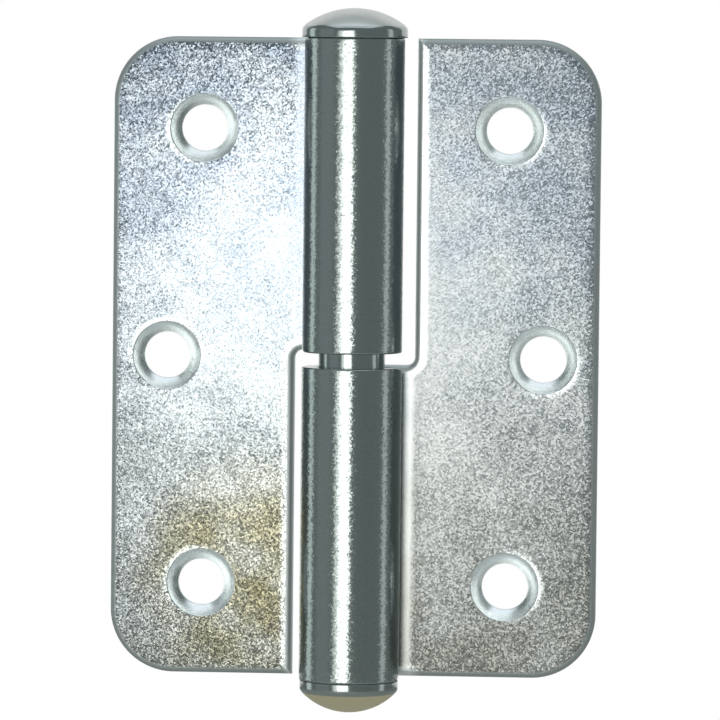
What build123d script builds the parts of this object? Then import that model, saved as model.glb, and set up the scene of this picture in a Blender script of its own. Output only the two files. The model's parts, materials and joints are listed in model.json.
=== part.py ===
from build123d import *
import math
import os

# Lift-off surface mount hinge, laid open flat, in millimetres. X runs across the leaves, Y from the
# barrel side to the mounting side and Z up along the pin. The origin is on the pin's axis, halfway up.

# Leaves
leaf_height = 110.0
leaf_reach = 42.0  # pin axis to outer edge
sheet = 2.8  # thickness of the steel
corner_radius = 11.0
edge_roll = 1.0  # edges drawn round by the press tool, on the countersunk side
edge_break = 0.4  # chamfer of the mounting side and of the knuckles' outside

# Knuckles
pin_radius = 5.7
running_clearance = 0.08  # radial, pin and plug in a knuckle
knuckle_gap = 2.5  # between the two knuckles
leaf_clearance = 1.82  # knuckle to the cut-back edge of the other leaf
notch_radius = 1.5  # inner corner of the cut-back
root_bend = 15.0  # degrees of the curl that are drawn back to the mounting plane
mouth_gap = 0.5  # free end of the curl to the leaf's face
tongue_radius = 9.5  # corners of the curl's free end
bore_lead = 0.5  # chamfer at both mouths of a knuckle's bore

# Screw holes
hole_radius = 4.0
countersink_radius = 5.85
countersink_angle = 90.0
end_hole_inset = 15.7  # from the outer edge and from the leaf's end
middle_hole_inset = 9.5  # from the outer edge

# Pin
pin_head_inset = 0.13  # head edge inside the knuckle's outside
pin_head_rim = 1.75
pin_head_dome = 3.85
press_lead = 1.0  # taper from the pressed length to the running length
pin_tip_chamfer = 1.4

# Plug in the top of the upper knuckle
plug_overhang = 0.47  # head edge beyond the knuckle's outside
plug_head_rim = 1.75
plug_head_dome = 3.3
plug_shank = 8.0
plug_tip_chamfer = 0.8
mounting_clearance = 0.13  # plug's head to the mounting plane
head_edge = 0.35  # chamfer of both heads' seats
head_shoulder = 1.0  # chamfer from both heads' rims to their crowns

# Worked out from the sizes above
half_height = leaf_height / 2
half_gap = knuckle_gap / 2
knuckle_height = half_height - half_gap
bore_radius = pin_radius + running_clearance
knuckle_radius = bore_radius + sheet
set_back = plug_overhang + mounting_clearance
mount_y = knuckle_radius + set_back
face_y = mount_y - sheet
cut_back_x = knuckle_radius + leaf_clearance
root_angle = 90 + root_bend
draw_length = set_back / math.sin(math.radians(root_bend))
root_x = draw_length * math.cos(math.radians(root_bend))
free_end_y = face_y - mouth_gap
free_end_angle = math.degrees(math.asin(free_end_y / knuckle_radius))
pin_top = half_height - plug_shank

# Leaf drawings lie on the mounting plane, with their depth towards the barrel side
mounting_plane = Plane((0, mount_y, 0), x_dir=(1, 0, 0), z_dir=(0, -1, 0))
from_below = (Align.CENTER, Align.CENTER, Align.MIN)


def tongue_section():
    """Section of the curled sheet on the XZ plane, with the bore's leads towards the pin."""
    middle = Pos(bore_radius + sheet / 2, -half_gap - knuckle_height / 2)
    section = middle * Rectangle(sheet, knuckle_height)
    section = chamfer(section.vertices().group_by(Axis.X)[0], bore_lead)
    section = chamfer(section.vertices().group_by(Axis.X)[-1], edge_break)
    return Plane.XZ * section


def curl():
    """The tongue rolled round the pin: root bend, short straight draw, then the knuckle."""
    section = tongue_section()
    knuckle = revolve(section, Axis.Z, 360 + free_end_angle - root_angle)
    draw = extrude(section, amount=draw_length)
    root = Pos(0, -draw_length, 0) * Rot(0, 0, -root_bend) * revolve(section, Axis.Z, root_bend)
    return Rot(0, 0, root_angle) * (knuckle + draw + root)


def tongue_corner(end_z, inward):
    """What is cut off a corner of the curl's free end, seen along X, to leave it round."""
    centre = Pos(free_end_y - tongue_radius, end_z + inward * tongue_radius)
    square = Pos(free_end_y - tongue_radius / 2, end_z + inward * tongue_radius / 2)
    corner = square * Rectangle(tongue_radius, tongue_radius) - centre * Circle(tongue_radius)
    return extrude(Plane.YZ * corner, amount=knuckle_radius)


def plate():
    """The flat of the leaf, with round outer corners, the cut-back and rolled edges."""
    outline = make_face(
        Polyline(
            (root_x, -half_height),
            (leaf_reach, -half_height),
            (leaf_reach, half_height),
            (cut_back_x, half_height),
            (cut_back_x, -half_gap),
            (root_x, -half_gap),
            close=True,
        )
    )
    outline = fillet(outline.vertices().group_by(Axis.X)[-1], corner_radius)
    notch = outline.vertices().sort_by_distance((cut_back_x, -half_gap, 0))[0]
    outline = fillet(notch, notch_radius)
    flat = extrude(mounting_plane * outline, amount=sheet)
    front_edges = flat.faces().sort_by(Axis.Y)[0].edges().sort_by(Axis.X)
    flat = fillet(front_edges[1:], edge_roll)
    back_edges = flat.faces().sort_by(Axis.Y)[-1].edges().sort_by(Axis.X)
    return chamfer(back_edges[1:], edge_break)


def screw_hole(x, z):
    """Through hole with its countersink on the barrel side."""
    sink_depth = (countersink_radius - hole_radius) / math.tan(math.radians(countersink_angle / 2))
    through = Cylinder(hole_radius, sheet, align=from_below)
    sink = Cone(hole_radius, countersink_radius, sink_depth, align=from_below)
    return mounting_plane * Pos(x, z, 0) * (through + Pos(0, 0, sheet - sink_depth) * sink)


def leaf():
    """One pressed leaf, with its knuckle on the lower half and its flat towards +X."""
    body = plate() + curl()
    body -= tongue_corner(-half_height, 1)
    body -= tongue_corner(-half_gap, -1)
    end_hole_x = leaf_reach - end_hole_inset
    end_hole_z = half_height - end_hole_inset
    body -= screw_hole(end_hole_x, -end_hole_z)
    body -= screw_hole(end_hole_x, end_hole_z)
    body -= screw_hole(leaf_reach - middle_hole_inset, 0)
    return body


def domed_head(radius, rim, dome):
    """A head that sits on Z = 0, with an upright rim, a bevelled shoulder and a spherical crown."""
    lines = Polyline((0, rim + dome), (0, 0), (radius, 0), (radius, rim))
    crown = TangentArc((0, rim + dome), (radius, rim), tangent=(1, 0))
    section = make_face(lines + crown)
    seat, shoulder = section.vertices().group_by(Axis.X)[-1].sort_by(Axis.Y)
    section = chamfer(shoulder, head_shoulder)
    section = chamfer(section.vertices().sort_by_distance(seat)[0], head_edge)
    return revolve(Plane.XZ * section, Axis.Z)


def hinge_pin():
    """Headed pin: pressed into the lower knuckle, free to turn in the upper one."""
    head = domed_head(knuckle_radius - pin_head_inset, pin_head_rim, pin_head_dome)
    pressed_height = knuckle_height - press_lead
    pressed = Cylinder(bore_radius, pressed_height, align=from_below)
    lead = Cone(bore_radius, pin_radius, press_lead, align=from_below)
    spigot = Cylinder(pin_radius, pin_top + half_gap, align=from_below)
    spigot = chamfer(spigot.edges().group_by(Axis.Z)[-1], pin_tip_chamfer)
    body = Pos(0, 0, -half_height) * (Rot(180, 0, 0) * head + pressed)
    body += Pos(0, 0, pressed_height - half_height) * lead
    return body + Pos(0, 0, -half_gap) * spigot


def end_plug():
    """Domed plug whose shank stands on the pin's end."""
    head = domed_head(knuckle_radius + plug_overhang, plug_head_rim, plug_head_dome)
    shank = Cylinder(pin_radius, plug_shank, align=from_below)
    shank = chamfer(shank.edges().group_by(Axis.Z)[0], plug_tip_chamfer)
    return Pos(0, 0, half_height) * head + Pos(0, 0, pin_top) * shank


frame_leaf = leaf()
nodes = {
    "frame_leaf": frame_leaf,
    "hinge_pin": hinge_pin(),
    "door_leaf": Rot(0, 180, 0) * frame_leaf,
    "end_plug": end_plug(),
}

os.makedirs("parts", exist_ok=True)
for name, solid in nodes.items():
    export_step(solid, f"parts/{name}.step")
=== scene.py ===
"""Looks of a lift-off surface mount hinge: zinc-plated pressed leaves rolled round a headed pin.

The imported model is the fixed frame. Each piece below stands for one of its nodes, has the node's sizes
and rides on the node's body. Lengths are metres, X runs across the leaves and Z up along the pin.
"""

import json
import math
from types import SimpleNamespace

import bmesh
import bpy
import numpy as np
from bpy.props import FloatProperty, FloatVectorProperty, PointerProperty
from mathutils import Matrix, Vector
from mathutils.geometry import delaunay_2d_cdt


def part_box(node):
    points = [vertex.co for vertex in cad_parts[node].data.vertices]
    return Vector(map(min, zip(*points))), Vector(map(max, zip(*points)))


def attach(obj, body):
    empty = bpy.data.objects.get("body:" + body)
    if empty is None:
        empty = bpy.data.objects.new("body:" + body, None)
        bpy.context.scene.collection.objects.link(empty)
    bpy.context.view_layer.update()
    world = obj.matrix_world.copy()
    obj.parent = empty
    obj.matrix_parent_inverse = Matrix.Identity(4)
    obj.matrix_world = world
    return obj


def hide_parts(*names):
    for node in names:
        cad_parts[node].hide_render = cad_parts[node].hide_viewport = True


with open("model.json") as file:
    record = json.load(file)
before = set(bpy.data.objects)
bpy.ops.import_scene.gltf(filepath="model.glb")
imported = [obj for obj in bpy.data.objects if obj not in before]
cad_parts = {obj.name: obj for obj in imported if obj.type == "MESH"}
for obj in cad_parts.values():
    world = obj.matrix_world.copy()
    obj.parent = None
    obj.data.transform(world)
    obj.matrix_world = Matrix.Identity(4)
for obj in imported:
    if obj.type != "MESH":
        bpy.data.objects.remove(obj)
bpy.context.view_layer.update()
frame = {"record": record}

bl_info = {
    "name": "Lift-off hinge",
    "version": (1, 0, 0),
    "blender": (4, 5, 0),
    "location": "3D View > Sidebar > Hinge",
    "description": "Builds the leaves, pin and plug of a lift-off hinge and its studio stage",
    "category": "Object",
}

MM = 0.001
WELD = 1.37e-6  # points closer than this are one vertex
TURN = 2 * math.pi
LEAF_LOW, LEAF_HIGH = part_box("frame_leaf")
PIN_LOW, PIN_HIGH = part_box("hinge_pin")
PLUG_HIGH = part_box("end_plug")[1]
MOUNTS = {mount["name"]: mount for mount in frame["record"]["mounts"]}
END_SCREWS = MOUNTS["frame_leaf_end_screws"]
MIDDLE_SCREW = MOUNTS["frame_leaf_middle_screw"]
FINISHES = ("sparkle", "rolled", "sheared")  # kept on the meshes: crystals, polish and rough edges

# How many points divide each line
STEPS = {
    "margin": 7, "edge_round": 10, "corner": 33, "notch": 17, "lower_end": 28, "outer_side": 80,
    "upper_end": 22, "sharp_corner": 7, "cut_back": 56, "tongue_side": 12, "tongue_width": 26,
    "seam": 3, "root_bend": 9, "draw": 3, "knuckle": 180, "free_end": 40,
    "dish": 9, "hole_round": 9, "hole_turn": 96, "crown": 48, "head_round": 7, "head_turn": 256,
}

# Fine shape and finish of a leaf
SEAM = 0.5 * MM  # flat sheet between the root bend and the seam to the tongue
EDGE_GUARD = 0.1  # share of the roll that stays straight at its ends
EDGE_FADE = 0.3  # share of the roll over which the crystals end
# The drawn edges also take this share of the knuckle's colour, which is partly a painted reflection.
EDGE_POLISH = 0.8  # share of the knuckle's polish that the drawn edges have
SINK_GUARD = 0.15 * MM  # ring between a countersink's mouth and its dish
HOLE_ROUNDING = (0.12 * MM, 1.0 * MM, 0.10 * MM, 0.12 * MM)  # mouth, hollow, throat and back of a hole
RUB = 0.8  # share of the crystals that the countersink tool rubbed off
RUB_ANGLES = (20, -50, -40)  # degrees, at the lower, middle and upper hole
LATTICE = 1.5 * MM  # spacing of the points inside the flats
LATTICE_CLEAR = 0.6  # share of the spacing that stays free along the borders
HOLES_OPEN = 2  # kind of triangulation: inside the loops, with holes left open
MERGE = 1e-6  # millimetres, points that the triangulation takes as one

# Levels of a pattern between which the look changes
GRAIN_LEVELS = (0.36, 0.6)  # grains, dull to bright
FILM_LEVELS = (0.3, 0.62)  # patches, thin to whole film
LEAN_LEVELS = (0.3, 0.7)  # patches, crystals that lean less to more
DIE_LEVELS = (0.45, 0.75)  # grains, faint to strong marks of the curling die
CLOUD_LEVELS = (0.3, 0.7)  # clouds on the heads, smoother to rougher
# Painted shade: the plate is darkened towards the corners, where the light falls off from its middle.
PAINTED_CORNER_SHADE_ZONE = (0.6, 1.3)  # way to the corners, clear to grey
LEAN_ZONE = (0.3, 1.2)  # way to the corners, calm to leaning crystals
STAIN_ZONE = (1.0, 0.2)  # way from the stain's middle, edge to full stain
# Heights over which the plate turns from bluer to yellower, top to bottom.
WARM_HEIGHTS = (32 * MM, -50 * MM)  # blue to yellow film

# Lamps that face the pin's middle: name, place, width, height, watts and colour
LAMPS = (
    ("key_softbox", (-0.265, -1.5, -0.08), 0.65, 0.55, 4.2, "#FFFDF8"),
    ("key_wing", (-0.76, -1.5, -0.08), 0.34, 0.55, 0.85, "#FFFDF8"),
    ("right_strip", (1.699, -0.0445, 0), 0.387, 1.4, 1.23, "#FFFFFF"),
    ("left_strip", (-1.656, 0.382, 0), 0.51, 1.4, 2.4, "#EAF4F0"),
    ("left_panel", (-1.50, -0.82, 0), 1.1, 1.8, 0.8, "#F4F8FF"),
    ("overhead_softbox", (0, -0.3, 1.5), 2.0, 1.6, 10.0, "#F4F8FF"),
)


def linear(hex_colour):
    """An sRGB hex colour as linear red, green and blue."""
    srgb = np.array([int(hex_colour[i:i + 2], 16) for i in (1, 3, 5)]) / 255
    rgb = np.where(srgb <= 0.04045, srgb / 12.92, ((srgb + 0.055) / 1.055) ** 2.4)
    return tuple(rgb.tolist())


def size(name, description, default):
    """A length property in metres."""
    return FloatProperty(name=name, description=description, default=default, unit="LENGTH", precision=5)


def angle(name, description, degrees):
    """An angle property, given in degrees."""
    return FloatProperty(
        name=name, description=description, default=math.radians(degrees), unit="ROTATION"
    )


def factor(name, description, default):
    """A factor property, from 0 to 1."""
    return FloatProperty(
        name=name, description=description, default=default, subtype="FACTOR", min=0, max=1, precision=3
    )


def spot(name, description, default):
    """A place on the leaves or a reach over them, across and up, in metres."""
    return FloatVectorProperty(
        name=name, description=description, default=default, size=2, unit="LENGTH", precision=5
    )


def colour(name, description, hex_colour):
    """A colour property, given as sRGB hex."""
    return FloatVectorProperty(
        name=name, description=description, default=linear(hex_colour), subtype="COLOR", min=0, max=1
    )


class LeafSizes(bpy.types.PropertyGroup):
    """Sizes of a pressed leaf. The two leaves are one pressing, turned half round."""

    reach: size("Reach", "Pin axis to the leaf's outer edge", LEAF_HIGH[0])
    half_height: size("Half height", "Middle of the leaf to its end", LEAF_HIGH[2])
    mount_y: size("Mounting plane", "Pin axis to the mounting side", LEAF_HIGH[1])
    knuckle_radius: size("Knuckle radius", "Outside of the rolled knuckle", -LEAF_LOW[1])
    sheet: size("Sheet", "Thickness of the steel", 2.8 * MM)
    corner_radius: size("Corner radius", "Outer corners of the leaf", 11 * MM)
    roll: size("Edge roll", "Edges drawn round by the press tool, countersunk side", 1.05 * MM)
    margin: size("Margin", "Strip along the edges that the press tool draws down", 1.3 * MM)
    margin_fall: size("Margin fall", "How far the margin falls before the roll", 0.09 * MM)
    burnish_fall: size("Burnished fall", "Margin fall beside the barrel, which the die flattened", 0.055 * MM)
    edge_break: size("Edge break", "Edges of the mounting side", 0.35 * MM)
    half_gap: size("Half gap", "Half of the gap between the knuckles", 1.25 * MM)
    cut_back: size("Cut-back", "Pin axis to the edge that clears the other knuckle", 10.4 * MM)
    notch_radius: size("Notch radius", "Inner corner of the cut-back", 1.5 * MM)
    root_bend: angle("Root bend", "Part of the curl drawn back to the mounting plane", 15)
    mouth_gap: size("Mouth gap", "Free end of the curl to the leaf's face", 0.5 * MM)
    tongue_radius: size("Tongue radius", "Corners of the curl's free end", 9.5 * MM)
    hole_radius: size("Hole radius", "Screw holes", END_SCREWS["dims"]["hole_r_mm"] * MM)
    sink_radius: size("Countersink radius", "Mouth of a screw hole", 5.85 * MM)
    sink_hollow: size("Countersink hollow", "How far the punch hollows the cone", 0.11 * MM)
    dish: size("Dish", "Ring round a countersink that the tool drags down", 0.95 * MM)
    dish_fall: size("Dish fall", "How far the dish falls before the countersink", 0.03 * MM)
    end_hole_x: size("End holes across", "Pin axis to the two end holes", END_SCREWS["pos_m"][0])
    end_hole_z: size("End holes up", "Middle to an end hole", END_SCREWS["dims"]["spacing_y_mm"] * MM / 2)
    middle_hole_x: size("Middle hole across", "Pin axis to the middle hole", MIDDLE_SCREW["pos_m"][0])


class PinSizes(bpy.types.PropertyGroup):
    """Sizes of the headed pin and of the plug above it."""

    pin_radius: size("Pin radius", "Free length of the pin", 5.7 * MM)
    pin_head_radius: size("Pin head radius", "Head below the lower knuckle", PIN_HIGH[0])
    pin_low: size("Pin's lowest point", "Crown of the pin's head", PIN_LOW[2])
    pin_top: size("Pin's top", "End of the pin inside the upper knuckle", PIN_HIGH[2])
    plug_head_radius: size("Plug head radius", "Head above the upper knuckle", PLUG_HIGH[0])
    plug_high: size("Plug's highest point", "Crown of the plug's head", PLUG_HIGH[2])
    head_rim: size("Head rim", "Upright part of both heads", 1.75 * MM)
    head_shoulder: size("Head shoulder", "Rounding from a head's rim to its crown", 0.6 * MM)
    head_seat: size("Head seat", "Rounding of a head's lower edge", 0.2 * MM)
    head_root: size("Head root", "Rounding between a head's seat and its shank", 0.1 * MM)
    press_gap: size("Press gap", "Left between the bore and the pressed length", 0.02 * MM)
    press_lead: size("Press lead", "Taper from the pressed to the free length", 1 * MM)
    lead_edge: size("Lead edge", "Rounding of the press lead's edges", 0.2 * MM)
    pin_tip: size("Pin tip", "Chamfer of the pin's end", 1.4 * MM)
    pin_tip_edge: size("Pin tip's edge", "Rounding of that chamfer's edges", 0.3 * MM)
    plug_tip: size("Plug tip", "Chamfer of the plug's end", 0.8 * MM)
    plug_tip_edge: size("Plug tip's edge", "Rounding of that chamfer's edges", 0.2 * MM)


class ZincFinish(bpy.types.PropertyGroup):
    """Colours, roughness and grain of the zinc plate."""

    bright: colour("Bright zinc", "Lit grains of the plate", "#B0B5B7")
    shade: colour("Dull zinc", "Duller grains of the plate", "#8D949A")
    pale: colour("Pale zinc", "The frame leaf's plate, duller and paler than the door leaf's", "#BEC1C1")
    # The plate is bluer towards the top, and yellower towards the bottom and in the stain.
    cool: colour("Blue film", "Thin passivation film, towards the top", "#E2EAF8")
    warm: colour("Yellow film", "Thicker passivation film, towards the bottom", "#EFE0B4")
    # Painted shade: this grey is multiplied into the plate towards the leaves' corners, where the light falls
    # off.
    grey: colour("Grey film", "Dulling of the plate, towards the leaves' corners", "#C0C4CA")
    # Partly the polished zinc's own colour, partly a painted reflection: darker and greener for the dark
    # surroundings that the knuckles and the heads' rims mirror.
    rolled: colour("Rolled zinc", "Plate polished by the curling die", "#9AA2A1")
    cut: colour("Cut zinc", "Plate on the cut edges and in the countersinks", "#DCE2E3")
    # Painted reflection: the pin's crown faces down, and this warm colour stands in for the yellowish surface
    # below that it mirrors.
    pin_crown_painted_reflection: colour("Pin's crown", "Yellow film on the pin's head", "#D8CFAE")
    plug_crown: colour("Plug's crown", "Clear film on the plug's head", "#CDD1CF")
    pale_share: factor("Pale share", "How much of the pale plate the frame leaf has", 0.8)
    film_least: factor("Thin film", "Passivation film where it is thinnest", 0.35)
    # How much yellower the plate turns at the bottom, by height.
    low_warmth: factor("Low warmth", "Yellow film at the bottom, beside the stain", 0.5)
    # How much painted shade the corners get, and how much of it shows in the stain.
    painted_corner_shade_most: factor("Grey corners", "Grey film in the corners", 0.62)
    painted_corner_shade_on_stain: factor("Grey on the stain", "Part of the grey film that the stain lets show", 0.45)
    stain_middle: spot("Stain", "Middle of the yellow stain", (-18 * MM, -40 * MM))
    stain_reach: spot("Stain's reach", "Middle of the stain to its edge", (34 * MM, 34 * MM))
    # The calm place is also where the painted shade is least; the shade grows from there towards the corners.
    calm_lit_middle: spot("Calm place", "Where the plate is clear and its crystals lie flat", (-5 * MM, 10 * MM))
    calm_lit_reach: spot("Calm reach", "From there to the corners", (52 * MM, 50 * MM))
    door_rough: factor("Door leaf's roughness", "Roughness of its crystals", 0.19)
    frame_rough: factor("Frame leaf's roughness", "Roughness of its crystals", 0.345)
    cut_rough: factor("Cut roughness", "Countersinks and burnished strips", 0.24)
    rolled_rough: factor("Rolled roughness", "Outside of the knuckles", 0.16)
    sheared_rough: factor("Sheared roughness", "Edges of the leaves", 0.55)
    satin_low: factor("Satin, smoother", "Least roughness of the heads' crowns", 0.34)
    satin_high: factor("Satin, rougher", "Most roughness of the heads' crowns", 0.44)
    rim_rough: factor("Rim roughness", "Rims of the heads and the shanks", 0.14)
    grain: size("Grain", "Width of the plate's crystals", 0.26 * MM)
    patch: size("Patch", "Width of the film's patches", 9 * MM)
    cloud: size("Cloud", "Width of the clouds on the heads' crowns", 0.7 * MM)
    lean: angle("Lean", "How far the crystals in the corners lean at most", 10.5)
    calm_lean: factor("Calm lean", "Lean in the calm place, against the corners", 0.32)
    cut_lean: factor("Cut lean", "Lean on the smooth cuts, against the flats", 0.04)
    die_faint: factor("Faint die marks", "Least lean that the curling die left", 0.12)
    die_strong: factor("Strong die marks", "Most lean that the curling die left", 0.65)
    patch_swing: factor("Patch swing", "How far the lean changes from patch to patch", 0.2)
    stain_lean: factor("Stain lean", "How much more the stained crystals lean", 0.15)
    door_relief: size("Door relief", "Height of the fine texture on the door leaf", 0.045 * MM)
    frame_relief: size("Frame relief", "Height of the fine texture on the frame leaf", 0.01 * MM)
    cloud_relief: size("Cloud relief", "Height of the clouds on the heads' crowns", 0.012 * MM)
    bare_from: size("Burnished to", "Pin axis to the end of the strip that the die burnished", 9.6 * MM)
    bare_fade: size("Burnish fades", "Pin axis to where the crystals are whole again", 11.0 * MM)


class StageSettings(bpy.types.PropertyGroup):
    """Camera and studio."""

    azimuth: angle("Azimuth", "Camera to the right of straight ahead", 3.96)
    elevation: angle("Elevation", "Camera above level", 3.10)
    roll: angle("Roll", "Camera turned about its line of sight", 0.588)
    distance: size("Distance", "Camera to the pin's middle", 0.970)
    field: angle("Field of view", "Across the frame", 7.27)
    aim_right: size("Aim right", "Middle of the frame, right of the pin's middle", 1.39 * MM)
    aim_up: size("Aim up", "Middle of the frame, above the pin's middle", -0.06 * MM)
    floor_z: size("Floor", "Height of the floor", -0.38)
    wall_y: size("Wall", "Distance of the wall behind", 2.4)
    wall_top: size("Wall top", "Height of the wall's upper edge", 3.0)
    half_width: size("Half width", "Middle of the stage to its sides and its front", 3.2)
    floor_paint: colour("Floor paint", "Pale floor", "#E6E4DE")
    wall_paint: colour("Wall paint", "White wall, as the lamps light it", "#EDEDEB")
    dim_light: colour("Dim light", "Light from all round", "#8C9595")


def grid_faces(rows, columns, wrap=False):
    """Triangles of a grid of points numbered row by row. With wrap, each row closes on itself."""
    number = np.arange(rows * columns).reshape(rows, columns)
    if wrap:
        number = np.hstack((number, number[:, :1]))
    a, b, c, d = number[:-1, :-1], number[:-1, 1:], number[1:, 1:], number[1:, :-1]
    return np.stack((a, b, c, a, c, d), axis=-1).reshape(-1, 3)


def rounded(corners, cuts, steps):
    """A line through the corners, each cut back by its own length and bridged by a parabola:
    q(w) = (1 - w)^2 a + 2 w (1 - w) corner + w^2 b, where a and b lie on the corner's two sides."""
    corners = np.asarray(corners, float)
    middle = corners[1:-1]
    before = corners[:-2] - middle
    after = corners[2:] - middle
    cut = np.asarray(cuts, float)[:, None]
    a = middle + cut * before / np.linalg.norm(before, axis=1, keepdims=True)
    b = middle + cut * after / np.linalg.norm(after, axis=1, keepdims=True)
    w = np.linspace(0, 1, steps)[:, None, None]
    bridge = (1 - w) ** 2 * a + 2 * w * (1 - w) * middle + w ** 2 * b
    return np.vstack((corners[:1], bridge.transpose(1, 0, 2).reshape(-1, 2), corners[-1:]))


def arc(centre, radius, start, end, steps):
    """Points and outward directions of an arc: centre + radius (cos a, sin a)."""
    a = np.radians(np.linspace(start, end, steps))
    out = np.stack((np.cos(a), np.sin(a)), axis=-1)
    return np.asarray(centre) + radius * out, out


def curl_path(leaf):
    """Knots of the sheet's path, from the outer edge to the curl's free end.

    A point at a depth below the countersunk face is centre + (bore + depth) (cos a, sin a). On the flat
    the centre runs along X with a = 90 degrees, in the bends a turns, in the straight draw only the
    centre moves. Between knots all three change evenly with the length along the countersunk face.
    """
    bore = leaf.knuckle_radius - leaf.sheet
    set_back = leaf.mount_y - leaf.knuckle_radius
    root_angle = TURN / 4 + leaf.root_bend
    draw = set_back / math.sin(leaf.root_bend)
    root_x = draw * math.cos(leaf.root_bend)
    free_y = leaf.mount_y - leaf.sheet - leaf.mouth_gap
    end_angle = TURN + math.asin(free_y / leaf.knuckle_radius)
    spans = (leaf.reach - root_x, bore * leaf.root_bend, draw, bore * (end_angle - root_angle))
    return {
        "bore": bore,
        "root_x": root_x,
        "free_y": free_y,
        "length": np.cumsum((root_x - leaf.reach,) + spans),
        "centre_x": (leaf.reach, root_x, root_x, 0, 0),
        "centre_y": (set_back, set_back, set_back, 0, 0),
        "angle": (TURN / 4, TURN / 4, root_angle, root_angle, end_angle),
    }


def bent(path, length, z, depth):
    """Carries points of the blank to their place: length along the path, height and depth in the sheet."""
    length, z, depth = np.broadcast_arrays(length, z, depth)
    turn = np.interp(length, path["length"], path["angle"])
    x = np.interp(length, path["length"], path["centre_x"]) + (path["bore"] + depth) * np.cos(turn)
    y = np.interp(length, path["length"], path["centre_y"]) + (path["bore"] + depth) * np.sin(turn)
    return np.stack((x, y, z), axis=-1).reshape(-1, 3)


def fall(start, width, depth, steps):
    """A strip that falls towards an edge: d = depth (1 - s)^2, with s from 1 on the flat to 0 at start.

    Returns distance from the edge and depth, then the slope at the start.
    """
    share = np.linspace(1, 0, steps)
    return np.stack((start + width * share, depth * (1 - share) ** 2), axis=-1), 2 * depth / width


def edge_profile(leaf, drop):
    """Inset and depth round a cut edge: margin, roll, wall, break and mounting side, with its sparkle."""
    guard = EDGE_GUARD * leaf.roll
    margin, slope = fall(leaf.roll + guard, leaf.margin, drop, STEPS["margin"])
    corners = (
        margin[-1],
        (0, drop + slope * (leaf.roll + guard)),
        (0, leaf.sheet),
        (leaf.edge_break + guard, leaf.sheet),
    )
    edge = rounded(corners, (leaf.roll, leaf.edge_break), STEPS["edge_round"])
    profile = np.vstack((margin[:-1], edge))
    sparkle = np.clip(profile[:, 0] / leaf.roll - (1 - EDGE_FADE), 0, EDGE_FADE) / EDGE_FADE
    sparkle[-1] = 1
    return profile, sparkle


def straight(start, end, inward, steps):
    """Evenly spaced points of a straight edge, with the direction into the sheet."""
    share = np.linspace(0, 1, steps)[:, None]
    return np.asarray(start) * (1 - share) + np.asarray(end) * share, np.repeat([inward], steps, axis=0)


def plate_outline(leaf, seam_x, deepest):
    """The flat's edge from the tongue's lower corner round to its upper corner, with inward directions.

    Insets up to the deepest one meet on the bisector of the sharp corner beside the barrel.
    """
    r, notch = leaf.corner_radius, leaf.notch_radius
    reach, top, gap, cut = leaf.reach, leaf.half_height, leaf.half_gap, leaf.cut_back
    inner = reach - r
    lower, lower_out = arc((inner, -top + r), r, -90, 0, STEPS["corner"])
    upper, upper_out = arc((inner, top - r), r, 0, 90, STEPS["corner"])
    fillet, fillet_out = arc((cut - notch, -gap + notch), notch, 0, -90, STEPS["notch"])
    pieces = (
        straight((seam_x, -top), (inner, -top), (0, 1), STEPS["lower_end"]),
        (lower, -lower_out),
        straight((reach, -top + r), (reach, top - r), (-1, 0), STEPS["outer_side"]),
        (upper, -upper_out),
        straight((inner, top), (cut + deepest, top), (0, -1), STEPS["upper_end"]),
        straight((cut + deepest, top), (cut, top), (0, -1), STEPS["sharp_corner"]),
        straight((cut, top), (cut, top - deepest), (1, 0), STEPS["sharp_corner"]),
        straight((cut, top - deepest), (cut, -gap + notch), (1, 0), STEPS["cut_back"]),
        (fillet, fillet_out),
        straight((cut - notch, -gap), (seam_x, -gap), (0, -1), STEPS["tongue_side"]),
    )
    points = np.vstack([piece[0] for piece in pieces])
    inward = np.vstack([piece[1] for piece in pieces])
    fresh = np.append(True, np.linalg.norm(np.diff(points, axis=0), axis=1) > WELD)
    points, inward = points[fresh], inward[fresh]
    bisector = np.array((1, -1))
    near = np.clip(1 - np.linalg.norm(points - (cut, top), axis=1) / deepest, 0, 1)
    return points, inward + near[:, None] * (bisector - inward)


def tongue_section(profile, sparkle, rows):
    """Closed section of the tongue as share of its width, offset from there, depth and sparkle."""
    inset, depth = profile.T
    front, back = inset[0], inset[-1]
    share = np.concatenate((np.zeros_like(inset), rows, np.ones_like(inset), rows[::-1]))
    offset = np.concatenate((inset, back * (1 - 2 * rows), -inset[::-1], front * (1 - 2 * rows[::-1])))
    deep = np.concatenate((depth, np.full_like(rows, depth[-1]), depth[::-1], np.zeros_like(rows)))
    shine = np.concatenate((sparkle, np.ones_like(rows), sparkle[::-1], np.ones_like(rows)))
    return share, offset, deep, shine


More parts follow.
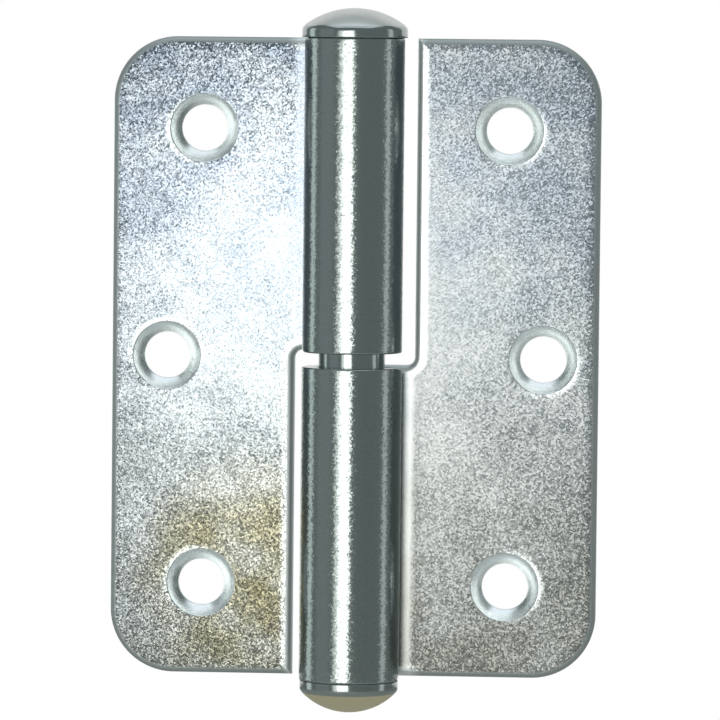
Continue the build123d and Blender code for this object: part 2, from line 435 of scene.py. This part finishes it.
def tongue(leaf, path, profile, sparkle, rows, seam_x):
    """The curled half: the sheet's section carried along the path, narrowing to its round free end."""
    bore, outer, r = path["bore"], leaf.knuckle_radius, leaf.tongue_radius
    root, draw_end, ring_start = path["length"][1:4]
    begin = root - (seam_x - path["root_x"])
    round_y = path["free_y"] - r
    swing = np.linspace(0, TURN / 4, STEPS["free_end"])
    end_angles = TURN + np.arcsin((round_y + r * np.sin(swing)) / outer)
    taper_start = ring_start + bore * (end_angles[0] - path["angle"][3])
    length = np.concatenate((
        np.linspace(begin, root, STEPS["seam"]),
        np.linspace(root, draw_end, STEPS["root_bend"])[1:],
        np.linspace(draw_end, ring_start, STEPS["draw"])[1:],
        np.linspace(ring_start, taper_start, STEPS["knuckle"])[1:-1],
        ring_start + bore * (end_angles - path["angle"][3]),
    ))
    narrow = np.zeros_like(length)
    narrow[-len(swing):] = r * (1 - np.cos(swing))
    share, offset, depth, shine = tongue_section(profile, sparkle, rows)
    low = (-leaf.half_height + narrow)[:, None]
    high = (-leaf.half_gap - narrow)[:, None]
    z = low + share * (high - low) + offset
    points = bent(path, length[:, None], z, depth[None, :])
    columns = len(share)
    faces = grid_faces(len(length), columns, wrap=True)
    last = np.arange((len(length) - 1) * columns, len(length) * columns)
    middle = len(points)
    points = np.vstack((points, points[last].mean(axis=0)))
    cap = np.stack((last, np.roll(last, -1), np.full(columns, middle)), axis=-1)
    curled = np.clip((length - root) / (ring_start - root), 0, 1)
    rolled = np.append(np.outer(curled, depth > leaf.sheet / 2), 0)
    shine = np.append(np.outer(1 - curled, shine), 0)
    return points, np.vstack((faces, cap)), np.stack((shine, rolled, np.zeros_like(shine)), axis=-1)


def countersunk_hole(leaf, path, centre, rub):
    """A screw hole: dish, 90 degree countersink and straight wall, turned about the hole's axis.

    The tool leaned a little, so it rubbed the dish bare on one side, as max(0, cos(a - rub)).
    """
    sink_depth = leaf.sink_radius - leaf.hole_radius
    dish, slope = fall(leaf.sink_radius + SINK_GUARD, leaf.dish, leaf.dish_fall, STEPS["dish"])
    middle = (leaf.sink_radius + leaf.hole_radius) / 2 + leaf.sink_hollow
    corners = (
        dish[-1],
        (leaf.sink_radius, leaf.dish_fall + slope * SINK_GUARD),
        (middle, sink_depth / 2 + leaf.sink_hollow),
        (leaf.hole_radius, sink_depth),
        (leaf.hole_radius, leaf.sheet),
        (leaf.hole_radius + SINK_GUARD, leaf.sheet),
    )
    wall = rounded(corners, HOLE_ROUNDING, STEPS["hole_round"])
    radius, depth = np.vstack((dish[:-1], wall)).T
    sparkle = np.clip((radius - leaf.sink_radius) / SINK_GUARD, 0, 1)
    sparkle[-1] = 1
    turn = np.linspace(0, TURN, STEPS["hole_turn"], endpoint=False)
    x = centre[0] + np.outer(radius, np.cos(turn))
    z = centre[1] + np.outer(radius, np.sin(turn))
    points = bent(path, path["root_x"] - x, z, depth[:, None])
    rings = np.stack((x[[0, -1]], z[[0, -1]]), axis=-1)
    bare = np.minimum(sparkle, np.clip((radius - leaf.sink_radius) / (SINK_GUARD + leaf.dish), 0, 1))
    side = RUB * np.clip(np.cos(turn - math.radians(rub)), 0, 1)
    shine = (sparkle[:, None] + np.outer(bare - sparkle, side)).reshape(-1)
    faces = grid_faces(len(radius), len(turn), wrap=True)
    smooth = np.zeros_like(shine)
    return points, faces, np.stack((shine, smooth, smooth), axis=-1), rings


def filled(loops, spacing):
    """Triangles inside the first loop and outside the others, through a lattice of inner points."""
    border = np.vstack(loops)
    low, high = border.min(axis=0), border.max(axis=0)
    lattice = np.stack(np.meshgrid(
        np.arange(low[0] + spacing, high[0], spacing), np.arange(low[1] + spacing, high[1], spacing)
    ), axis=-1).reshape(-1, 2)
    gap = np.min(np.linalg.norm(lattice[:, None] - border[None], axis=-1), axis=1)
    lattice = lattice[gap > LATTICE_CLEAR * spacing]
    points = np.vstack((border, lattice))
    starts = np.cumsum([0] + [len(loop) for loop in loops])
    faces = [list(range(a, b)) for a, b in zip(starts[:-1], starts[1:])]
    vectors = [Vector(point) for point in points / MM]
    _, _, triangles, origins, _, _ = delaunay_2d_cdt(vectors, [], faces, HOLES_OPEN, MERGE)
    origin = np.array([source[0] for source in origins])
    return points, origin[np.array(triangles)]


def leaf_patches(leaf):
    """All patches of a leaf as points, triangles and finish.

    The finish has a column for each of FINISHES: how far the plate sparkles, is rolled and is sheared.
    """
    path = curl_path(leaf)
    root_x = path["root_x"]
    seam_x = root_x + SEAM
    drawn, sparkle = edge_profile(leaf, leaf.margin_fall)
    pressed, flat_sparkle = edge_profile(leaf, leaf.burnish_fall)
    rows = np.linspace(0, 1, STEPS["tongue_width"] + 2)[1:-1]
    outline, inward = plate_outline(leaf, seam_x, drawn[:, 0].max())
    burnished = np.clip(1 - (outline[:, :1] - leaf.cut_back) / leaf.margin, 0, 1)
    profile = drawn + burnished[..., None] * (pressed - drawn)
    edge = outline[:, None] + inward[:, None] * profile[..., :1]
    bare = np.clip(drawn[:, 0] - leaf.roll, 0, leaf.margin) / leaf.margin
    shine = (sparkle + burnished * (np.minimum(sparkle, bare) - sparkle)).reshape(-1)
    rolled = np.outer(1 - burnished, EDGE_POLISH * (1 - sparkle)).reshape(-1)
    sheared = np.tile(1 - sparkle, len(outline))
    patches = [(
        bent(path, root_x - edge[..., 0], edge[..., 1], profile[..., 1]),
        grid_faces(len(outline), len(drawn)),
        np.stack((shine, rolled, sheared), axis=-1),
    )]
    patches.append(tongue(leaf, path, pressed, flat_sparkle, rows, seam_x))
    rings = []
    centres = (
        (leaf.end_hole_x, -leaf.end_hole_z),
        (leaf.middle_hole_x, 0),
        (leaf.end_hole_x, leaf.end_hole_z),
    )
    for centre, rub in zip(centres, RUB_ANGLES):
        points, faces, finish, ring = countersunk_hole(leaf, path, centre, rub)
        patches.append((points, faces, finish))
        rings.append(ring)
    for side, level in ((0, 0.0), (-1, leaf.sheet)):
        border = edge[:, side]
        low, high = border[0, 1], border[-1, 1]
        seam = np.stack((np.full_like(rows, seam_x), high + (low - high) * rows), axis=-1)
        flat, faces = filled([np.vstack((border, seam))] + [ring[side] for ring in rings], LATTICE)
        points = bent(path, root_x - flat[:, 0], flat[:, 1], np.full(len(flat), level))
        patches.append((points, faces, np.tile((1.0, 0.0, 0.0), (len(flat), 1))))
    return patches


def add_piece(name, patches, material, body, node):
    """Welds patches into one smooth closed mesh that stands for a node and rides on its body."""
    starts = np.cumsum([0] + [len(patch[0]) for patch in patches])
    points = np.vstack([patch[0] for patch in patches])
    faces = np.vstack([patch[1] + start for patch, start in zip(patches, starts)])
    finish = np.vstack([patch[2] for patch in patches])
    _, first, number = np.unique(np.round(points / WELD), axis=0, return_index=True, return_inverse=True)
    faces = number.reshape(-1)[faces]
    a, b, c = faces.T
    faces = faces[(a != b) & (b != c) & (c != a)]
    mesh = bpy.data.meshes.new(name)
    mesh.from_pydata(points[first].tolist(), [], faces.tolist(), shade_flat=False)
    for column, label in enumerate(FINISHES):
        layer = mesh.attributes.new(label, "FLOAT", "POINT")
        layer.data.foreach_set("value", finish[first, column].astype(np.float32))
    shell = bmesh.new()
    shell.from_mesh(mesh)
    bmesh.ops.recalc_face_normals(shell, faces=shell.faces)
    open_edges = sum(not edge.is_manifold for edge in shell.edges)
    if open_edges:
        raise RuntimeError(f"{name} has {open_edges} open edges")
    shell.to_mesh(mesh)
    shell.free()
    mesh.materials.append(material)
    piece = bpy.data.objects.new(name, mesh)
    bpy.context.scene.collection.objects.link(piece)
    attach(piece, body)
    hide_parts(node)


def crown(radius, rise, steps):
    """Radius and height of a spherical crown: h = rise - (R - sqrt(R^2 - r^2)), with R from its chord."""
    ball = (radius ** 2 + rise ** 2) / (2 * rise)
    r = np.linspace(0, radius, steps)
    return np.stack((r, rise - ball + np.sqrt(ball ** 2 - r ** 2)), axis=-1)


def headed(pin, head_radius, rise, shank):
    """Profile of a headed piece: crown, upright rim, then the shank's own corners, with its polish.

    Heights are measured up from the head's seat, and the shank's corners lie below it.
    """
    dome = crown(head_radius, rise, STEPS["crown"])
    dome[:, 1] += pin.head_rim
    inside = dome[dome[:, 0] < head_radius - pin.head_shoulder]
    corners = [tuple(inside[-1]), (head_radius, pin.head_rim), (head_radius, 0)]
    corners += [corner[:2] for corner in shank]
    cuts = [pin.head_shoulder, pin.head_seat] + [corner[2] for corner in shank[:-1]]
    profile = np.vstack((inside[:-1], rounded(corners, cuts, STEPS["head_round"])))
    polish = (np.arange(len(profile)) > len(inside)).astype(float)
    return profile, polish


def turned(profile, polish):
    """A profile of radius and height turned about the pin's axis: x = r cos a, y = r sin a, z = h."""
    steps = STEPS["head_turn"]
    turn = np.linspace(0, TURN, steps, endpoint=False)
    radius, height = profile.T
    ring = np.stack((np.cos(turn), np.sin(turn)), axis=-1)
    plane = radius[:, None, None] * ring
    z = np.broadcast_to(height[:, None, None], plane.shape[:2] + (1,))
    points = np.concatenate((plane, z), axis=-1).reshape(-1, 3)
    polish = np.repeat(polish, steps)
    finish = np.stack((np.zeros_like(polish), polish, np.zeros_like(polish)), axis=-1)
    return points, grid_faces(len(profile), steps, wrap=True), finish


def add_node(tree, kind, inputs=None, **settings):
    """Adds a node: settings are its own values, inputs give each socket a value or a link."""
    node = tree.nodes.new(kind)
    for name, value in settings.items():
        setattr(node, name, value)
    for name, value in (inputs or {}).items():
        if isinstance(value, bpy.types.NodeSocket):
            tree.links.new(value, node.inputs[name])
        else:
            node.inputs[name].default_value = value
    return node


def new_material(name):
    """An empty node material and its tree, with an output."""
    material = bpy.data.materials.new(name)
    material.use_nodes = True
    material.node_tree.nodes.clear()
    output = material.node_tree.nodes.new("ShaderNodeOutputMaterial")
    return material, material.node_tree, output


def ramp(tree, value, start, end, low=0.0, high=1.0, smooth=False):
    """A value between start and end brought to low and high."""
    return add_node(tree, "ShaderNodeMapRange", {
        "Value": value, "From Min": start, "From Max": end, "To Min": low, "To Max": high,
    }, interpolation_type="SMOOTHSTEP" if smooth else "LINEAR").outputs["Result"]


def calculated(tree, operation, *values):
    """The result of a math node."""
    return add_node(tree, "ShaderNodeMath", dict(enumerate(values)), operation=operation).outputs["Value"]


def product(tree, first, second):
    """Two values multiplied."""
    return calculated(tree, "MULTIPLY", first, second)


def vector(tree, operation, inputs):
    """The vector that a vector math node gives."""
    return add_node(tree, "ShaderNodeVectorMath", inputs, operation=operation).outputs["Vector"]


def attribute(tree, name):
    """One of the finishes kept on the mesh."""
    return add_node(tree, "ShaderNodeAttribute", attribute_name=name).outputs["Fac"]


def noise(tree, place, width, detail, roughness=0.5):
    """Noise with blotches of a width in metres."""
    inputs = {"Vector": place, "Scale": 1 / width, "Detail": detail, "Roughness": roughness}
    return add_node(tree, "ShaderNodeTexNoise", inputs).outputs["Fac"]


def blend(tree, part, first, second, kind="MIX"):
    """Two colours, mixed with the given part of the second one."""
    inputs = {0: part, 6: first, 7: second}
    return add_node(tree, "ShaderNodeMix", inputs, data_type="RGBA", blend_type=kind).outputs[2]


def spread(tree, place, centre, reach):
    """Distance from a centre on the leaf, across and up, in shares of the reach each way."""
    scale = (1 / reach[0], 0, 1 / reach[1])
    shift = (-centre[0] / reach[0], 0, -centre[1] / reach[1])
    scaled = add_node(tree, "ShaderNodeMapping", {"Vector": place, "Location": shift, "Scale": scale})
    return add_node(tree, "ShaderNodeVectorMath", {0: scaled.outputs["Vector"]},
                    operation="LENGTH").outputs["Value"]


def join_metal(tree, output, tint, roughness, normal):
    """A metal surface, joined to the material's output."""
    shader = add_node(tree, "ShaderNodeBsdfPrincipled", {
        "Base Color": tint, "Metallic": 1.0, "Roughness": roughness, "Normal": normal,
    })
    tree.links.new(shader.outputs["BSDF"], output.inputs["Surface"])


def plate_patterns(tree, finish):
    """What varies over the plate: noise, places on the leaves and the finishes kept on the mesh.

    frame_side goes from 0 on the door leaf to 1 on the frame leaf, outward grows towards the corners,
    stain is 1 in the yellow stain and crystals is 1 where no tool touched the plate.
    """
    place = add_node(tree, "ShaderNodeTexCoord").outputs["Object"]
    axis = add_node(tree, "ShaderNodeSeparateXYZ", {"Vector": place}).outputs
    finishes = {name: attribute(tree, name) for name in FINISHES}
    reach = calculated(tree, "ABSOLUTE", axis["X"])
    unburnished = ramp(tree, reach, finish.bare_from, finish.bare_fade, smooth=True)
    from_stain = spread(tree, place, finish.stain_middle, finish.stain_reach)
    return SimpleNamespace(
        place=place,
        up=axis["Z"],
        crystals=product(tree, finishes["sparkle"], unburnished),
        grains=noise(tree, place, finish.grain, detail=2.0, roughness=0.55),
        patches=noise(tree, place, finish.patch, detail=3.0),
        frame_side=ramp(tree, axis["X"], -finish.bare_from, finish.bare_from),
        stain=ramp(tree, from_stain, *STAIN_ZONE, smooth=True),
        outward=spread(tree, place, finish.calm_lit_middle, finish.calm_lit_reach),
        **finishes,
    )


def plate_tint(tree, finish, on):
    """Colour of the plate: its grains, the films over them, a painted shade towards the corners, then the cut
    places and the rolled ones, whose colour is partly a painted reflection.
    """
    mottle = blend(tree, ramp(tree, on.grains, *GRAIN_LEVELS), (*finish.shade, 1), (*finish.bright, 1))
    mottle = blend(tree, product(tree, on.frame_side, finish.pale_share), mottle, (*finish.pale, 1))
    # Yellower towards the bottom by height, and in the stain.
    below = ramp(tree, on.up, *WARM_HEIGHTS, 0.0, finish.low_warmth)
    warmth = calculated(tree, "MAXIMUM", on.stain, below)
    film = blend(tree, warmth, (*finish.cool, 1), (*finish.warm, 1))
    thickness = ramp(tree, on.patches, *FILM_LEVELS, finish.film_least, 1.0)
    plate = blend(tree, thickness, mottle, film, "MULTIPLY")
    # Painted shade: darker towards the corners, with less of it in the stain.
    corners = ramp(tree, on.outward, *PAINTED_CORNER_SHADE_ZONE, 0.0, finish.painted_corner_shade_most)
    showing = ramp(tree, on.stain, 0, 1, 1.0, finish.painted_corner_shade_on_stain)
    plate = blend(tree, product(tree, corners, showing), plate, (*finish.grey, 1), "MULTIPLY")
    plate = blend(tree, on.sparkle, (*finish.cut, 1), plate)
    # Rolled places take the rolled colour, partly a painted reflection of dark surroundings.
    return blend(tree, on.rolled, plate, (*finish.rolled, 1))


def plate_roughness(tree, finish, on):
    """Roughness of the plate: crystals, smooth cuts, polished knuckles and rough sheared edges."""
    crystal = ramp(tree, on.frame_side, 0, 1, finish.door_rough, finish.frame_rough)
    plain = ramp(tree, on.crystals, 0, 1, finish.cut_rough, crystal)
    polished = ramp(tree, on.rolled, 0, 1, plain, finish.rolled_rough)
    return ramp(tree, on.sheared, 0, 1, polished, finish.sheared_rough)


def plate_normal(tree, finish, on):
    """Direction of the plate's surface: each crystal leans its own way, with a fine relief over it.

    Crystals lean more towards the corners, and the curling die left faint marks on the knuckles.
    """
    swing = finish.patch_swing
    lean = ramp(tree, on.outward, *LEAN_ZONE, finish.calm_lean, 1.0)
    lean = product(tree, lean, ramp(tree, on.patches, *LEAN_LEVELS, 1 - swing, 1 + swing))
    lean = product(tree, lean, ramp(tree, on.stain, 0, 1, 1.0, 1 + finish.stain_lean))
    lean = product(tree, ramp(tree, on.crystals, 0, 1, finish.cut_lean, 1.0), lean)
    marks = ramp(tree, on.grains, *DIE_LEVELS, finish.die_faint, finish.die_strong)
    marks = product(tree, product(tree, on.rolled, on.rolled), marks)
    lean = calculated(tree, "MAXIMUM", lean, marks)
    cells = add_node(tree, "ShaderNodeTexVoronoi", {"Vector": on.place, "Scale": 1 / finish.grain})
    tilt = vector(tree, "SUBTRACT", {0: cells.outputs["Color"], 1: (0.5, 0.5, 0.5)})
    tilt = vector(tree, "SCALE", {0: tilt, "Scale": product(tree, lean, 2 * math.tan(finish.lean))})
    upright = add_node(tree, "ShaderNodeNewGeometry").outputs["Normal"]
    facet = vector(tree, "NORMALIZE", {0: vector(tree, "ADD", {0: upright, 1: tilt})})
    relief = ramp(tree, on.frame_side, 0, 1, finish.door_relief, finish.frame_relief)
    return add_node(tree, "ShaderNodeBump", {
        "Height": on.grains, "Distance": product(tree, lean, relief), "Strength": 1.0, "Normal": facet,
    }).outputs["Normal"]


def zinc_plated_sheet(finish):
    """Bright zinc plate on rolled sheet steel.

    The flats are mottled by the plate's crystals, so they sparkle. Countersinks are smooth, sheared edges
    are rough and shade softly, and the knuckle's outside was polished by the curling die, so it mirrors
    its surroundings; its darker, greener colour is partly a painted reflection of those dark surroundings.
    """
    material, tree, output = new_material("zinc_plated_rolled_sheet")
    on = plate_patterns(tree, finish)
    tint = plate_tint(tree, finish, on)
    join_metal(tree, output, tint, plate_roughness(tree, finish, on), plate_normal(tree, finish, on))
    return material


def zinc_plated_head(name, finish, crown_colour):
    """Zinc plate on cold-headed steel: a satin crown over a rim and shank that the die left bright."""
    material, tree, output = new_material(name)
    place = add_node(tree, "ShaderNodeTexCoord").outputs["Object"]
    rolled = attribute(tree, "rolled")
    cloud = noise(tree, place, finish.cloud, detail=3.0)
    # Rims and shanks take the rolled colour, partly a painted reflection of dark surroundings.
    tint = blend(tree, rolled, (*crown_colour, 1), (*finish.rolled, 1))
    satin = ramp(tree, cloud, *CLOUD_LEVELS, finish.satin_low, finish.satin_high)
    roughness = ramp(tree, rolled, 0, 1, satin, finish.rim_rough)
    bump = add_node(tree, "ShaderNodeBump", {
        "Height": cloud, "Distance": finish.cloud_relief, "Strength": 1.0,
    }).outputs["Normal"]
    join_metal(tree, output, tint, roughness, bump)
    return material


def studio_floor(paint):
    """Matt paint on the floor: pale and even, it lights the part softly from below."""
    material, tree, output = new_material("pale_studio_floor")
    matt = add_node(tree, "ShaderNodeBsdfDiffuse", {"Color": (*paint, 1)})
    tree.links.new(matt.outputs["BSDF"], output.inputs["Surface"])
    return material


def studio_wall(paint):
    """White paint on the wall: plain white where it is seen or mirrored, otherwise matt."""
    material, tree, output = new_material("white_studio_wall")
    rays = add_node(tree, "ShaderNodeLightPath").outputs
    seen = calculated(tree, "MAXIMUM", rays["Is Camera Ray"], rays["Is Glossy Ray"])
    seen = calculated(tree, "MAXIMUM", seen, rays["Is Transmission Ray"])
    matt = add_node(tree, "ShaderNodeBsdfDiffuse", {"Color": (*paint, 1)})
    white = add_node(tree, "ShaderNodeEmission", {"Color": (1, 1, 1, 1), "Strength": 1.0})
    mixed = add_node(tree, "ShaderNodeMixShader", {
        0: seen, 1: matt.outputs["BSDF"], 2: white.outputs["Emission"],
    })
    tree.links.new(mixed.outputs["Shader"], output.inputs["Surface"])
    return material


class HINGE_OT_press_leaves(bpy.types.Operator):
    """Press both leaves: the frame leaf, and the same pressing turned half round as the door leaf."""

    bl_idname = "hinge.press_leaves"
    bl_label = "Press the leaves"

    def execute(self, context):
        patches = leaf_patches(context.scene.hinge_leaf)
        material = zinc_plated_sheet(context.scene.hinge_finish)
        half_turn = np.array((-1, 1, -1))
        other = [(points * half_turn, faces, finish) for points, faces, finish in patches]
        add_piece("frame_leaf_pressing", patches, material, "frame_half", "frame_leaf")
        add_piece("door_leaf_pressing", other, material, "door_half", "door_leaf")
        return {"FINISHED"}


class HINGE_OT_turn_pin(bpy.types.Operator):
    """Turn the headed pin that is pressed into the lower knuckle."""

    bl_idname = "hinge.turn_pin"
    bl_label = "Turn the pin"

    def execute(self, context):
        leaf, pin = context.scene.hinge_leaf, context.scene.hinge_pin
        seat = -leaf.half_height
        rise = seat - pin.head_rim - pin.pin_low
        fit = leaf.knuckle_radius - leaf.sheet - pin.press_gap
        gap = leaf.half_height - leaf.half_gap
        end = pin.pin_top + leaf.half_height
        shank = (
            (fit, 0, pin.head_root),
            (fit, -gap + pin.press_lead, pin.lead_edge),
            (pin.pin_radius, -gap, pin.lead_edge),
            (pin.pin_radius, -end + pin.pin_tip, pin.pin_tip_edge),
            (pin.pin_radius - pin.pin_tip, -end, pin.pin_tip_edge),
            (0, -end, 0),
        )
        profile, polish = headed(pin, pin.pin_head_radius, rise, shank)
        profile[:, 1] = seat - profile[:, 1]
        finish = context.scene.hinge_finish
        # The pin's crown colour is a painted reflection of a yellowish surface below.
        material = zinc_plated_head("zinc_plated_cold_headed_pin", finish, finish.pin_crown_painted_reflection)
        add_piece("hinge_pin_turned", [turned(profile, polish)], material, "frame_half", "hinge_pin")
        return {"FINISHED"}


class HINGE_OT_head_plug(bpy.types.Operator):
    """Head the domed plug that closes the upper knuckle."""

    bl_idname = "hinge.head_plug"
    bl_label = "Head the plug"

    def execute(self, context):
        leaf, pin = context.scene.hinge_leaf, context.scene.hinge_pin
        seat = leaf.half_height
        rise = pin.plug_high - seat - pin.head_rim
        end = seat - pin.pin_top
        shank = (
            (pin.pin_radius, 0, pin.head_root),
            (pin.pin_radius, -end + pin.plug_tip, pin.plug_tip_edge),
            (pin.pin_radius - pin.plug_tip, -end, pin.plug_tip_edge),
            (0, -end, 0),
        )
        profile, polish = headed(pin, pin.plug_head_radius, rise, shank)
        profile[:, 1] = seat + profile[:, 1]
        finish = context.scene.hinge_finish
        material = zinc_plated_head("zinc_plated_pressed_plug", finish, finish.plug_crown)
        add_piece("end_plug_headed", [turned(profile, polish)], material, "lift_carrier", "end_plug")
        return {"FINISHED"}


def add_stage_grid(name, points, material):
    """A square grid of stage points as one mesh."""
    rows, columns = points.shape[:2]
    mesh = bpy.data.meshes.new(name)
    mesh.from_pydata(points.reshape(-1, 3).tolist(), [], grid_faces(rows, columns).tolist())
    mesh.materials.append(material)
    stage = bpy.data.objects.new(name, mesh)
    bpy.context.scene.collection.objects.link(stage)


def add_softbox(name, place, width, height, watts, hex_colour):
    """A rectangular lamp that faces the pin's middle, the origin."""
    lamp = bpy.data.lights.new(name, "AREA")
    lamp.shape = "RECTANGLE"
    lamp.size, lamp.size_y = width, height
    lamp.energy = watts
    lamp.color = linear(hex_colour)
    holder = bpy.data.objects.new(name, lamp)
    holder.location = place
    holder.rotation_euler = (Vector() - Vector(place)).to_track_quat("-Z", "Y").to_euler()
    holder.visible_camera = False
    bpy.context.scene.collection.objects.link(holder)


def add_camera(stage):
    """A camera at the photograph's viewing angle, aimed beside the pin's middle."""
    out = Vector((
        math.sin(stage.azimuth) * math.cos(stage.elevation),
        -math.cos(stage.azimuth) * math.cos(stage.elevation),
        math.sin(stage.elevation),
    ))
    right = Vector((0, 0, 1)).cross(out).normalized()
    up = out.cross(right)
    aim = right * stage.aim_right + up * stage.aim_up
    place = out * stage.distance
    facing = (aim - place).to_track_quat("-Z", "Y").to_matrix()
    turn = facing @ Matrix.Rotation(stage.roll, 3, "Z")
    data = bpy.data.cameras.new("photo_camera")
    data.angle = stage.field
    camera = bpy.data.objects.new("photo_camera", data)
    camera.matrix_world = Matrix.Translation(place) @ turn.to_4x4()
    bpy.context.scene.collection.objects.link(camera)
    return camera


class HINGE_OT_set_stage(bpy.types.Operator):
    """Set the floor, the wall, the lamps, the world and the camera."""

    bl_idname = "hinge.set_stage"
    bl_label = "Set the stage"

    def execute(self, context):
        scene, stage = context.scene, context.scene.hinge_stage
        across = (-stage.half_width, stage.half_width)
        x, y = np.meshgrid(across, (-stage.half_width, stage.wall_y))
        floor = np.stack((x, y, np.full_like(x, stage.floor_z)), axis=-1)
        add_stage_grid("studio_floor", floor, studio_floor(stage.floor_paint))
        x, z = np.meshgrid(across, (stage.floor_z, stage.wall_top))
        wall = np.stack((x, np.full_like(x, stage.wall_y), z), axis=-1)
        add_stage_grid("studio_wall", wall, studio_wall(stage.wall_paint))

        world = bpy.data.worlds.new("dim_studio")
        world.use_nodes = True
        scene.world = world
        world.node_tree.nodes["Background"].inputs["Color"].default_value = (*stage.dim_light, 1)

        for lamp in LAMPS:
            add_softbox(*lamp)
        scene.camera = add_camera(stage)
        scene.view_settings.view_transform = "Standard"
        return {"FINISHED"}


class HINGE_PT_pieces(bpy.types.Panel):
    """Lists the hinge's pieces and its stage."""

    bl_idname = "HINGE_PT_pieces"
    bl_label = "Lift-off hinge"
    bl_space_type = "VIEW_3D"
    bl_region_type = "UI"
    bl_category = "Hinge"

    def draw(self, context):
        for operator in OPERATORS:
            self.layout.operator(operator.bl_idname)


OPERATORS = (HINGE_OT_press_leaves, HINGE_OT_turn_pin, HINGE_OT_head_plug, HINGE_OT_set_stage)
SETTINGS = {
    "hinge_leaf": LeafSizes,
    "hinge_pin": PinSizes,
    "hinge_finish": ZincFinish,
    "hinge_stage": StageSettings,
}
CLASSES = (*SETTINGS.values(), *OPERATORS, HINGE_PT_pieces)


def register():
    for cls in CLASSES:
        bpy.utils.register_class(cls)
    for name, group in SETTINGS.items():
        setattr(bpy.types.Scene, name, PointerProperty(type=group))


def unregister():
    for name in SETTINGS:
        delattr(bpy.types.Scene, name)
    for cls in reversed(CLASSES):
        bpy.utils.unregister_class(cls)


def main():
    register()
    bpy.ops.hinge.press_leaves()
    bpy.ops.hinge.turn_pin()
    bpy.ops.hinge.head_plug()
    bpy.ops.hinge.set_stage()


if __name__ == "__main__":
    main()
